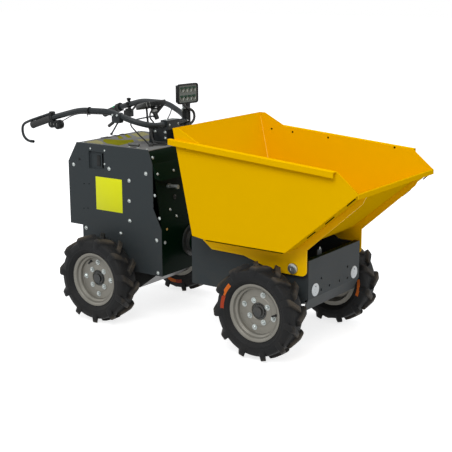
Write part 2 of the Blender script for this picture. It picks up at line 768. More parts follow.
class Kit:
    """Collects simple solids into one piece. Places are millimetres from the rear axle,
    the middle plane and the ground."""

    RIB_PITCH = 0.28  # share of a ribbed hose's radius in a quarter of a rib

    def __init__(self) -> None:
        """Start with no solids."""
        self.bm = bmesh.new()

    def circle(self, middle: Vector, aside: Vector, third: Vector, radius: float,
               sides: int) -> list[bmesh.types.BMVert]:
        """Add a ring of points about a middle, between two directions across its axis."""
        angles = [2 * math.pi * step / sides for step in range(sides)]
        return [self.bm.verts.new(DATUM.at(*(
            middle + (aside * math.cos(angle) + third * math.sin(angle)) * radius)))
            for angle in angles]

    def lathe(self, start: Point, along: Point, profile: Profile, sides: int = 20) -> "Kit":
        """Add a solid turned about any axis.

        Args:
            start: a point on the axis.
            along: the axis's direction.
            profile: (distance along the axis, radius) points from end to end.
            sides: steps round the axis.
        """
        axis = Vector(along).normalized()
        aside = axis.orthogonal().normalized()
        rings = []
        for reach, radius in profile:
            middle = Vector(start) + axis * reach
            rings.append(
                self.circle(middle, aside, axis.cross(aside), radius, sides) if radius > 0
                else [self.bm.verts.new(DATUM.at(*middle))])
        skin(self.bm, rings)
        return self

    def rod(self, start: Point, end: Point, radius: float, sides: int = 16) -> "Kit":
        """Add a round bar with slightly rounded ends.

        Args:
            start: one end.
            end: the other end.
            radius: its radius.
            sides: steps round it.
        """
        along = Vector(end) - Vector(start)
        reach, edge = along.length, 0.8
        return self.lathe(start, along, (
            (0, radius - edge), (edge, radius), (reach - edge, radius),
            (reach, radius - edge)), sides)

    def tube(self, points: Sequence[Point], radius: float, bend: float = 20.0,
             sides: int = 12, ribs: float = 0.0) -> "Kit":
        """Add a bent round bar, hose or cable.

        Args:
            points: corners of its centre line.
            radius: its radius.
            bend: how far each corner is rounded.
            sides: steps round it.
            ribs: depth of the rings of a corrugated hose, or 0.
        """
        path = smooth_path(points, bend)
        if ribs > 0:
            path = even_steps(path, radius * self.RIB_PITCH)
        aside = (path[1] - path[0]).orthogonal().normalized()
        rings = []
        for index, middle in enumerate(path):
            ahead = path[min(index + 1, len(path) - 1)] - path[max(index - 1, 0)]
            axis = ahead.normalized()
            aside = (aside - axis * aside.dot(axis)).normalized()
            size = radius - (ribs if index % 4 in (0, 1) else 0)
            rings.append(self.circle(middle, aside, axis.cross(aside), size, sides))
        skin(self.bm, rings)
        return self

    def block(self, low: Point, high: Point, rounding: float = 1.0, segments: int = 2) -> "Kit":
        """Add a box with rounded edges.

        Args:
            low: its low corner.
            high: its high corner.
            rounding: size of the rounding.
            segments: steps across each rounded edge.
        """
        size = Vector(high) - Vector(low)
        middle = (Vector(high) + Vector(low)) / 2
        bm = bmesh.new()
        bmesh.ops.create_cube(bm, size=1, matrix=Matrix.Diagonal((*(size * MM), 1)))
        round_edges(bm, min(rounding, min(size) * 0.45), segments)
        bmesh.ops.transform(bm, matrix=Matrix.Translation(DATUM.at(*middle)), verts=bm.verts)
        return self.take(bm)

    def plate(self, outline: Sequence[Point], depth: Point, rounding: float = 0.6) -> "Kit":
        """Add a plate with any outline.

        Args:
            outline: its corners.
            depth: the way and distance from one face to the other.
            rounding: size of the rounding of its edges.
        """
        bm = bmesh.new()
        near = [bm.verts.new(DATUM.at(*p)) for p in outline]
        far = [bm.verts.new(DATUM.at(*(Vector(p) + Vector(depth)))) for p in outline]
        bm.faces.new(near)
        bm.faces.new(far[::-1])
        for corners in zip(near, far, far[1:] + far[:1], near[1:] + near[:1]):
            bm.faces.new(corners)
        bmesh.ops.recalc_face_normals(bm, faces=bm.faces)
        if rounding > 0:
            round_edges(bm, rounding)
        return self.take(bm)

    def turned(self, about: Point, degrees: float, axis: str) -> "Kit":
        """Turn everything so far.

        Args:
            about: a point on the axis.
            degrees: the turn.
            axis: Y across the machine or Z upright.
        """
        bmesh.ops.transform(
            self.bm, matrix=turn_about(DATUM.at(*about), degrees, axis), verts=self.bm.verts)
        return self

    def take(self, bm: bmesh.types.BMesh) -> "Kit":
        """Take over another shape's faces.

        Args:
            bm: the other shape, freed here.
        """
        mesh = bpy.data.meshes.new("part")
        bm.to_mesh(mesh)
        bm.free()
        self.bm.from_mesh(mesh)
        bpy.data.meshes.remove(mesh)
        return self

    def done(self, name: str, finish: Finish, like: str, replace: bool = False,
             smooth_degrees: float = 35.0) -> None:
        """Turn the collected solids into a piece.

        Args:
            name: the piece's name.
            finish: its finish.
            like: the CAD node that it moves with and takes its slot from.
            replace: whether it stands for that node.
            smooth_degrees: edges that turn less than this are shaded smooth.
        """
        piece = add_object(name, mesh_from(self.bm, name), finish, smooth_degrees)
        DRESSER.seat(piece, like)
        if replace:
            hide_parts(like)


# ---------------------------------------------------------------- wheels
@dataclass(frozen=True)
class Wheel:
    """One wheel's look.

    Attributes:
        end: rear or front.
        side: 1 on the machine's left, -1 on its right.
        lug_turn: degrees that the first lug stands turned by.
        rim_turn: degrees that the rim stands turned by.
        valve_angle: degrees from the first bolt to the valve.
    """

    end: str
    side: int
    lug_turn: float
    rim_turn: float
    valve_angle: float

    LUGS = 11
    LUG_SLANT = 42  # degrees
    LUG_SWEEP = 14.2  # degrees
    LUG_INNER = 7
    LUG_OUTER = 54
    TREAD_R = 195
    SCUFF_R = 181
    SCUFF_DEPTH = 11
    # radius, half width and rounding of the outside, from the bead to the crown
    CARCASS = (
        (110, 20, 0), (117, 33, 1), (122.5, 37, 2), (127, 42.5, 3),
        (134, 47.5, 2), (136, 50, 1), (140, 51, 1), (141.5, 50.4, 0.5),
        (151, 52.4, 12), (174, 46.4, 12), (179.6, 27, 14), (180, 8, 6))
    # top's distance from the tread's middle and radius, the foot's, half widths of both
    LUG_STATIONS = (
        (-7, 178.5, -9, 177.5, 6.8, 10.5), (-6.6, 190, -8.2, 179, 7.6, 11),
        (-5, 194.4, -6.4, 179.6, 8, 11.2), (-2, 195, -2, 179.8, 8.4, 11.4),
        (14, 195, 14, 179.7, 8.7, 11.6), (27, 195, 27, 178.6, 9, 12),
        (37, 194.9, 36.5, 176.3, 9.4, 12.4), (44, 194.2, 43, 173.5, 9.8, 12.8),
        (48.4, 191.8, 46.6, 169.4, 10.1, 13.2), (51.4, 187, 49, 164, 10.2, 13.4),
        (53.3, 180, 50.5, 158, 10, 13.2), (54, 170, 51.4, 152.5, 9.4, 12.4),
        (53.9, 160, 51.7, 147.5, 8.2, 11), (53.1, 152, 51.2, 144, 6.6, 9.2),
        (51.3, 146, 50.3, 141.5, 4.6, 7))
    # radius, distance outwards from the wheel's middle and rounding
    RIM = (
        (119, 33, 1), (119, 37, 2), (113, 37, 3), (105.5, 33, 4), (101.5, 22, 4), (93.5, 17.5, 3.5),
        (92, 9, 2), (92, 3, 5), (62, 3, 2), (60.5, 4.4, 1), (37.5, 4.4, 1), (35, 2.6, 1),
        (34, -1, 0), (90, -1, 2), (92, -17, 4), (100, -37, 3), (118, -37, 1.5), (119, -33, 1),
        (97, -17, 3), (97, 17, 3))
    HUB = (
        (15.2, -30, 0), (24, -30, 1), (24, -9, 1), (60, -9, 1.5), (60, -1.4, 1), (27.5, -1.4, 1),
        (26, 4.5, 2), (20.5, 6, 1), (15.2, 6, 0))
    SNAP_RING = ((29.6, -1.6, 0), (31.8, -1.6, 0), (31.8, 0.4, 0.6), (29.6, 0.4, 0.6))

    @property
    def tail(self) -> str:
        """The end of the wheel's node names."""
        return f"{self.end}_{'left' if self.side > 0 else 'right'}"

    def build(self) -> None:
        """Make the tyre, rim, hub, bolts and valve."""
        # piece, the node that it moves with, its own slot or none where it stands for the node
        for piece, like, slot in (
                (self.tyre(), "tyre", ""), (self.rim(), "rim", ""),
                (self.hub(), "rim", "dark_cast"), (self.hub_ring(), "rim", "zinc"),
                (self.bolts(), "rim", "zinc"), (self.valve(), "rim", "black_rubber")):
            self.place(piece, like)
            if slot:
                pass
            else:
                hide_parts(f"{like}_{self.tail}")

    def place(self, piece: bpy.types.Object, like: str) -> None:
        """Move a wheel piece to its axle and seat it.

        Args:
            piece: the piece, made about the origin.
            like: tyre or rim, the node that it moves with.
        """
        low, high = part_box(f"rim_{self.tail}")
        piece.data.transform(Matrix.Translation((Vector(low) + Vector(high)) / 2))
        DRESSER.seat(piece, f"{like}_{self.tail}")

    def tyre(self) -> bpy.types.Object:
        """Make the tyre: a rounded carcass with chevron lugs, whose tips are marked as scuffed.

        Returns:
            The tyre about the origin.
        """
        corners = [*self.CARCASS, *((r, -y, f) for r, y, f in reversed(self.CARCASS))]
        tyre = add_object(f"tyre_{self.tail}_moulded",
                          mesh_from(turned_ring(corners, 3, 120), "tyre"), TYRE_RUBBER)
        grow(tyre, Group.RING, self.lug_pair(), TYRE_RUBBER, Count=self.LUGS,
             Start=math.radians(self.lug_turn))
        tyre.data.set_sharp_from_angle(angle=math.radians(38))
        scuffed = tyre.data.attributes.new("scuffed", "FLOAT", "POINT")
        for vertex, mark in zip(tyre.data.vertices, scuffed.data):
            radius = math.hypot(vertex.co.x, vertex.co.z) / MM
            mark.value = max(0, min(1, (radius - self.SCUFF_R) / self.SCUFF_DEPTH))
        return tyre

    def lug_pair(self) -> bpy.types.Mesh:
        """Make one lug on each half of the tread, half a pitch apart.

        Returns:
            Both lugs, the first one's inner end over the top of the wheel.
        """
        bm = bmesh.new()
        for side, phase in ((-self.side, 0), (self.side, math.pi / self.LUGS)):
            skin(bm, [self.lug_section(bm, side, phase, *row) for row in self.LUG_STATIONS])
        return mesh_from(bm, "lug")

    def lug_section(self, bm: bmesh.types.BMesh, side: int, phase: float, top_y: float,
                    top_r: float, foot_y: float, foot_r: float, top_half: float,
                    foot_half: float) -> list[bmesh.types.BMVert]:
        """Add the points of one section across a lug.

        Args:
            bm: the lug's shape.
            side: the half of the tread that the lug is on.
            phase: the lug's angle at its inner end.
            top_y: the top's distance from the tread's middle.
            top_r: its radius.
            foot_y: the foot's distance from the tread's middle.
            foot_r: its radius.
            top_half: half the top's width.
            foot_half: half the foot's width.

        Returns:
            The section's points in order.
        """
        sweep = math.radians(self.LUG_SWEEP) / (self.LUG_OUTER + self.LUG_INNER)
        slant = math.cos(math.radians(self.LUG_SLANT))
        ring = []
        # share of the way from foot to top, half width, sunk below the carcass
        half = (
            (0, foot_half + 4, 3), (0.06, foot_half, 0), (0.45, top_half + 1.4, 0),
            (0.86, top_half + 0.3, 0), (1, top_half - 1.6, 0))
        for sign, spots in ((-1, half), (1, half[::-1])):
            for share, across, sunk in spots:
                y = foot_y + (top_y - foot_y) * share
                radius = foot_r + (top_r - foot_r) * share - sunk
                angle = (phase - (max(y, -self.LUG_INNER) + self.LUG_INNER) * sweep
                         + sign * across / slant / self.TREAD_R)
                ring.append(bm.verts.new(round_axle(radius, angle, side * (y - sunk * 0.4))))
        return ring

    def patch(self, name: str, finish: Finish, side: int, radii: tuple[float, float],
              angles: tuple[float, float]) -> None:
        """Make a plain coloured patch on a sidewall.

        Args:
            name: the piece's name.
            finish: its finish.
            side: the side of the tyre that it is on.
            radii: its inner and outer radius.
            angles: degrees from the top, towards the front, where it starts and ends.
        """
        line = rounded_profile([*self.CARCASS, (180, 0, 0)], 3)
        columns, steps, proud, thickness = 6, 14, 0.5, 0.9
        bm = bmesh.new()
        rows = []
        for step in range(steps + 1):
            angle = math.radians(angles[0] + (angles[1] - angles[0]) * step / steps)
            across = (radii[0] + (radii[1] - radii[0]) * i / columns for i in range(columns + 1))
            rows.append([bm.verts.new(round_axle(
                radius, angle, side * (height_on(line, radius) + proud))) for radius in across])
        join_rings(bm, rows, closed=False)
        extruded = bmesh.ops.extrude_face_region(bm, geom=list(bm.faces))
        moved = [item for item in extruded["geom"] if isinstance(item, bmesh.types.BMVert)]
        bmesh.ops.translate(bm, verts=moved, vec=(0, -side * thickness * MM, 0))
        self.place(add_object(f"{name}_{self.tail}", mesh_from(bm, name), finish), "tyre")

    def rim(self) -> bpy.types.Object:
        """Make the pressed rim with its rolled flanges and recessed disc."""
        return add_object(f"rim_{self.tail}_pressed", mesh_from(
            turned_ring(self.RIM, 4, 96, self.side), "rim"), RIM_SILVER, 28)

    def hub(self) -> bpy.types.Object:
        """Make the dark splined hub behind the disc's hole.

        Returns:
            The hub about the origin.
        """
        hub = add_object(
            f"hub_{self.tail}", mesh_from(turned_ring(self.HUB, 3, 48, self.side), "hub"),
            DARK_CAST)
        tooth = bmesh.new()
        bmesh.ops.create_cube(tooth, size=1, matrix=(
            Matrix.Translation(Vector((0, self.side * 1.8, 26.2)) * MM)
            @ Matrix.Diagonal((6 * MM, 5.6 * MM, 4.4 * MM, 1))))
        bmesh.ops.bevel(tooth, geom=list(tooth.edges), offset=0.6 * MM, segments=1, affect="EDGES")
        grow(hub, Group.RING, mesh_from(tooth, "tooth"), DARK_CAST, Count=16, Start=0.0)
        return hub

    def hub_ring(self) -> bpy.types.Object:
        """Make the bright snap ring and the axle's end in the hub.

        Returns:
            The ring about the origin.
        """
        bm = turned_ring(self.SNAP_RING, 2, 48, self.side)
        lathe_into(bm, (0, self.side * 5.6, 0), (0, self.side, 0), (
            (-2, 14.6), (0.6, 14.4), (1.4, 13.4), (1.4, 6.4), (-1, 6), (-1, 0)), 6)
        return add_object(f"hub_ring_{self.tail}", mesh_from(bm, "ring"), HUB_STEEL)

    def bolts(self) -> bpy.types.Object:
        """Make both rings of hexagon bolts on the disc.

        Returns:
            The bolts about the origin.
        """
        bm = bmesh.new()
        bm.verts.new((0, self.side * 3.4 * MM, 62 * MM))
        ring = add_object(f"bolts_{self.tail}", mesh_from(bm, "bolts"), ZINC)
        for radius, first, face in ((72, 0, 3), (48, 45, 4.4)):
            bolt = hexagon_bolt((0, self.side * face, radius), (0, self.side, 0))
            grow(ring, Group.RING, bolt, ZINC, Count=4, Start=math.radians(self.rim_turn + first))
        ring.data.set_sharp_from_angle(angle=math.radians(30))
        return ring

    def valve(self) -> bpy.types.Object:
        """Make the valve: a rubber stem with its cap, through the disc's slot.

        Returns:
            The valve about the origin.
        """
        angle = math.radians(self.rim_turn + self.valve_angle)
        foot = (math.sin(angle) * 82, self.side * 3, math.cos(angle) * 82)
        bm = bmesh.new()
        lathe_into(bm, foot, (-math.sin(angle) * 0.35, self.side, -math.cos(angle) * 0.35), (
            (-0.5, 7), (1.5, 6.6), (4, 4.2), (13, 3.6), (14, 4.2), (22, 4),
            (23, 2.8), (23.2, 0)), 14)
        return add_object(f"valve_{self.tail}", mesh_from(bm, "valve"), BLACK_RUBBER)


def height_on(line: Profile, radius: float) -> float:
    """Read a turned profile's width at one radius.

    Args:
        line: (radius, Y) points of growing radius.
        radius: the radius.

    Returns:
        Y at that radius.
    """
    for (r0, y0), (r1, y1) in zip(line, line[1:]):
        if min(r0, r1) <= radius <= max(r0, r1) and r0 != r1:
            return y0 + (y1 - y0) * (radius - r0) / (r1 - r0)
    return line[-1][1]


def lathe_into(bm: bmesh.types.BMesh, start: Point, along: Point, profile: Profile,
               sides: int) -> None:
    """Add a solid turned about any axis, in millimetres about the origin.

    Args:
        bm: the shape to add to.
        start: a point on the axis.
        along: the axis's direction.
        profile: (distance along the axis, radius) points from end to end.
        sides: steps round the axis.
    """
    kit = Kit()
    kit.bm.free()
    kit.bm = bm
    kit.lathe(Vector(start) - Vector((DATUM.axle_x / MM, 0, 0)), along, profile, sides)


def bolt_from(foot: Point, aim: Point, turns: Sequence[tuple[int, Profile]]) -> bpy.types.Mesh:
    """Make a bolt from turned solids on one axis.

    Args:
        foot: where it stands, in millimetres about the origin.
        aim: the way it points.
        turns: steps round the axis and profile of each solid.

    Returns:
        The bolt's mesh.
    """
    bm = bmesh.new()
    for sides, profile in turns:
        lathe_into(bm, foot, aim, profile, sides)
    return mesh_from(bm, "bolt")


def hexagon_bolt(foot: Point, aim: Point) -> bpy.types.Mesh:
    """Make a hexagon head on a washer, with the bolt's end showing."""
    return bolt_from(foot, aim, (
        (20, ((0, 11.5), (0.5, 12), (1.8, 11.8), (1.9, 0))),
        (6, ((1.8, 7.5), (6.2, 7.5), (7.2, 6.4), (7.3, 0))),
        (12, ((7, 4), (9, 4), (9.8, 3.2), (9.9, 0)))))


def dome_bolt() -> bpy.types.Mesh:
    """Make a domed socket bolt on a washer, standing on the origin along Z."""
    return bolt_from((0, 0, 0), (0, 0, 1), (
        (16, ((0, 9.2), (1.4, 9), (1.6, 8.4), (1.6, 0))),
        (12, ((1.5, 6.4), (2.6, 6.2), (4.4, 4.6), (5.2, 3.2), (5.1, 2.6), (3, 2.5),
              (2.9, 0)))))


# ---------------------------------------------------------------- fasteners
@dataclass(frozen=True)
class Fasteners:
    """A set of domed bolts on one node.

    Attributes:
        name: the piece's name.
        like: the node that they move with.
        aim: the way they point.
        spots: their places.
        size: 1 for a washer 18 mm wide.
        finish: their finish.
    """

    name: str
    like: str
    aim: Point
    spots: Sequence[Point]
    size: float = 0.8
    finish: Finish = ZINC

    def build(self) -> None:
        """Make the bolts through the shared tree."""
        mesh = bpy.data.meshes.new(self.name)
        mesh.from_pydata([DATUM.at(*spot) for spot in self.spots], [], [])
        for name, kind, key, values in (("aim", "FLOAT_VECTOR", "vector", list(self.aim)),
                                        ("size", "FLOAT", "value", [self.size])):
            layer = mesh.attributes.new(name, kind, "POINT")
            layer.data.foreach_set(key, values * len(self.spots))
        piece = bpy.data.objects.new(self.name, mesh)
        bpy.context.scene.collection.objects.link(piece)
        grow(piece, Group.SPOTS, dome_bolt(), self.finish, Seed=7)
        piece.data.set_sharp_from_angle(angle=math.radians(30))
        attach(piece, DRESSER.body_of[self.like])


# ---------------------------------------------------------------- running gear
@dataclass(frozen=True)
class RunningGear:
    """All four wheels with the plain patches on their sidewalls.

    Attributes:
        wheels: each wheel's end, side, tyre turn, rim turn and valve angle.
        patches: wheel's index, side of the tyre, finish, radii and angles of each patch.
    """

    wheels: tuple[Wheel, ...] = (
        Wheel("rear", -1, 9, 0, -30), Wheel("rear", 1, 15, 20, 31),
        Wheel("front", -1, -3, 16, 76), Wheel("front", 1, 12, 16, 31))
    patches: tuple[tuple[int, int, Finish, tuple[float, float], tuple[float, float]], ...] = (
        (2, -1, STICKER_ORANGE, (141, 156), (-68, -46)),
        (2, -1, STICKER_RED, (138, 154), (-90, -68.5)),
        (3, -1, STICKER_ORANGE, (138, 152), (80, 110)),
        (1, -1, STICKER_RED, (136, 152), (166, 180)),
        (1, -1, STICKER_ORANGE, (136, 152), (180.5, 200)))

    def build(self) -> None:
        """Make the wheels and their patches."""
        for wheel in self.wheels:
            wheel.build()
        for index, (wheel, side, finish, radii, angles) in enumerate(self.patches):
            self.wheels[wheel].patch(f"patch_{index}", finish, side, radii, angles)


# ---------------------------------------------------------------- bodywork
@dataclass(frozen=True)
class Bodywork:
    """Folded sheet metal of both halves, with its fasteners.

    Attributes:
        folded: node, rounding of its edges in millimetres and its own finish or None.
        plain: node and finish of the pieces that keep their edges.
    """

    folded: tuple[tuple[str, float, Finish | None], ...] = (
        ("side_panel_left", 1.6, None), ("side_panel_right", 1.6, None),
        ("rear_panel", 2, None), ("lid", 1.6, None), ("bulkhead", 2, GAP_GREEN),
        ("bulkhead_cover", 1.6, GAP_GREEN), ("chassis_sides", 2, None),
        ("chassis_back", 1.6, GAP_GREEN), ("nose_plate", 2, None), ("mast", 1.6, None),
        ("rear_floor", 1.6, None), ("chassis_pan", 1.6, None), ("bar_brace", 1, None))
    plain: tuple[tuple[str, Finish], ...] = (
        ("roll_housing", DARK_CAST), ("pivot_yoke", GAP_GREEN), ("steering_pin", DARK_CAST),
        ("lid_latch", HUB_STEEL))

    PANEL_BOLTS = ((-208, 671), (3, 672), (212, 671), (117, 631), (115, 541), (115, 452),
                   (-145, 387), (61, 388), (264, 385), (267, 240))
    SMALL_BOLTS = ((-104, 752), (-21, 750), (-23, 690))
    # outward directions of the bulkhead's upper fold, its cover and its lower slope
    FOLD = (0.92, 0, 0.39)
    COVER = (0.936, 0, 0.351)
    SLOPE = (0.90, 0, 0.43)

    def build(self) -> None:
        """Finish the sheets and add the fasteners."""
        for node, width, finish in self.folded:
            piece = DRESSER.rounded(node, width, finish)
            if node == "nose_plate":
                piece.data.materials.append(GAP_GREEN.material())
                for face in piece.data.polygons:
                    if face.normal.z > 0.7 or face.normal.x < -0.7:
                        face.material_index = 1
        for node, finish in self.plain:
            DRESSER.paint(node, finish)
        for fasteners in self.fasteners():
            fasteners.build()

    def fasteners(self) -> list[Fasteners]:
        """List the bolts of every face.

        Returns:
            The sets of bolts.
        """
        right = tuple((x, -215, z) for x, z in self.PANEL_BOLTS)
        left = tuple((x, 215, z) for x, z in self.PANEL_BOLTS)
        small = tuple((x, -215, z) for x, z in self.SMALL_BOLTS)
        both = (-1, 1)
        fold = tuple((238, 200 * side, 740) for side in both)
        cover = tuple((263.6, y, 672) for y in (-200, -90, 90, 200))
        flat = tuple((248, 202 * side, 578) for side in both)
        slope = ((257.5, -111, 501), (268.5, -200, 479), (273, -86, 470),
                 (257.5, 111, 501), (268.5, 200, 479))
        rear = tuple((-241, y, z) for y in (-185, 185) for z in (480, 650))
        lid = tuple((x, y, 772) for x in (-165, 205) for y in (-195, 195))
        return [
            Fasteners("right_panel_bolts", "side_panel_right", (0, -1, 0), right, 0.95),
            Fasteners("right_panel_screws", "side_panel_right", (0, -1, 0), small, 0.5),
            Fasteners("left_panel_bolts", "side_panel_left", (0, 1, 0), left, 0.95),
            Fasteners("fold_bolts", "bulkhead", self.FOLD, fold, 0.8),
            Fasteners("cover_bolts", "bulkhead_cover", self.COVER, cover, 0.7),
            Fasteners("front_wall_bolts", "bulkhead", (1, 0, 0), flat, 0.7),
            Fasteners("slope_bolts", "bulkhead", self.SLOPE, slope, 0.7),
            Fasteners("brass_plugs", "bulkhead", (1, 0, 0), ((291, -177, 430),), 0.7,
                      BRASS),
            Fasteners("cable_grommets", "bulkhead", (1, 0, 0), ((248, -67, 550),), 1.2,
                      CAP_GREY),
            Fasteners("lower_wall_bolts", "bulkhead", (1, 0, 0), (
                (291, -192, 374), (291, 192, 374)), 0.9),
            Fasteners("wall_edge_bolts", "bulkhead", (0, -1, 0), (
                (255, -211, 580), (279, -211, 483)), 0.75),
            Fasteners("panel_plugs", "side_panel_right", (0, -1, 0), (
                (-149, -215, 589), (-119, -215, 591), (-155, -215, 476),
                (-130, -215, 479)), 0.28, DEEP_BLACK),
            Fasteners("panel_grommet", "side_panel_right", (0, -1, 0), (
                (-172, -215, 698),), 0.7, BLACK_PLASTIC),
            Fasteners("rear_panel_bolts", "rear_panel", (-1, 0, 0), rear, 0.8),
            Fasteners("lid_bolts", "lid", (0, 0, 1), lid, 0.6),
            Fasteners("mast_bolts", "mast", (0, -1, 0), (
                (128, -44, 826), (184, -44, 826), (184, -44, 800)), 0.75),
            Fasteners("mast_bolts_left", "mast", (0, 1, 0), (
                (128, 44, 826), (184, 44, 826), (184, 44, 800)), 0.75),
            Fasteners("clamp_bolts", "mast", (1, 0, 0), (
                (198, -30, 858), (198, 30, 858)), 0.55),
            Fasteners("clamp_top_bolts", "mast", (0, 0, 1), (
                (178, -26, 878), (178, 26, 878)), 0.75),
            Fasteners("nose_tab_bolt", "nose_plate", (1, 0, 0), ((1005, -94, 432),), 0.6),
        ]


# ---------------------------------------------------------------- skip
@dataclass(frozen=True)
class Skip:
    """Skip with rounded edges, weld beads in its inner corners and its cradle.

    Attributes:
        wall_y: inner face of each side wall.
        bead_r: radius of a weld bead.
    """

    wall_y: float = 311.4
    bead_r: float = 2.6

    def build(self) -> None:
        """Finish the skip, its cradle and its pins, and add the welds."""
        DRESSER.rounded("skip_tub", 1.8)
        DRESSER.rounded("skip_cradle", 2.2, CRADLE_YELLOW)
        DRESSER.rounded("skip_bearers", 1.6)
        beads = Kit()
        for side in (-1, 1):
            y = side * self.wall_y
            beads.tube(((446.5, y, 884), (538.6, y, 466), (600, y, 459.6),
                        (979, y, 459.6), (1284, y, 713)), self.bead_r, 5, 8)
        beads.tube(((538.8, -self.wall_y, 466.4), (538.8, self.wall_y, 466.4)), 2, 1, 8)
        beads.done("skip_welds", SKIP_YELLOW, "skip_tub")
        corner = Kit()
        for side in (-1, 1):
            corner.tube(((447.2, side * 310.8, 880), (538.6, side * 310.8, 470)), 2.8, 1, 8,
                        ribs=0.5)
        corner.done("skip_corner_welds", WELD_YELLOW, "skip_tub")
        self.seams()
        self.marks()
        seams = Kit()
        for side in (-1, 1):
            for low, high in ((560, 700), (760, 905)):
                seams.tube(((low, side * 224.8, 454), (high, side * 224.8, 454)), 2.4, 1, 8)
        seams.done("cradle_welds", SKIP_YELLOW, "skip_cradle")
        pins = Kit()
        for side in (-1, 1):
            pins.lathe((963, side * 231.8, 371), (0, side, 0), (
                (0, 20.6), (0.6, 21), (1.6, 20.8), (2.4, 19), (2.5, 8), (1.6, 7), (1.6, 0)), 32)
        pins.done("tip_pin_faces", ZINC, "tip_pins")

    def seams(self) -> None:
        """Make the dark seams below the side sheets' lower edges."""
        kit = Kit()
        for side in (-1, 1):
            kit.block((602, side * 315 - 1, 450.4), (972, side * 315 + 1, 454.6), 0.3)
            for x0, z0, x1, z1 in ((1080, 526, 1117, 557), (1159, 591, 1197, 624),
                                   (1249, 671, 1284, 702)):
                lift = Vector((-2.2, 0, 2.6))
                low, high = Vector((x0, side * 315.9, z0)), Vector((x1, side * 315.9, z1))
                kit.plate((low - lift * 0.4, high - lift * 0.4, high + lift, low + lift),
                          (0, side * 0.5, 0), 0)
        kit.done("skip_edge_seams", SHADOW_GAP, "skip_tub")

    def marks(self) -> None:
        """Make the dark backs of the rim holes and the small marks on the back wall."""
        holes, pips = Kit(), Kit()
        for side in (-1, 1):
            for x, z in ((506, 825), (617, 821), (798, 811), (1115, 794)):
                holes.lathe((x, side * 316.3, z), (0, side, 0), (
                    (0, 7.4), (1.4, 7.2), (1.5, 0)), 16)
        holes.lathe((456.6, -188, 836), (0.976, 0, 0.215), ((-0.4, 3.6), (0.6, 3.4), (0.7, 0)), 12)
        holes.done("rim_hole_backs", DEEP_BLACK, "skip_tub")
        for y, z in ((-195, 869), (186, 870), (195, 841)):
            pips.lathe((446.5 + (884 - z) * 0.2203, y, z), (0.976, 0, 0.215), (
                (-0.4, 2.8), (0.8, 2.4), (1, 0)), 10)
        pips.done("back_wall_pips", WELD_YELLOW, "skip_tub")


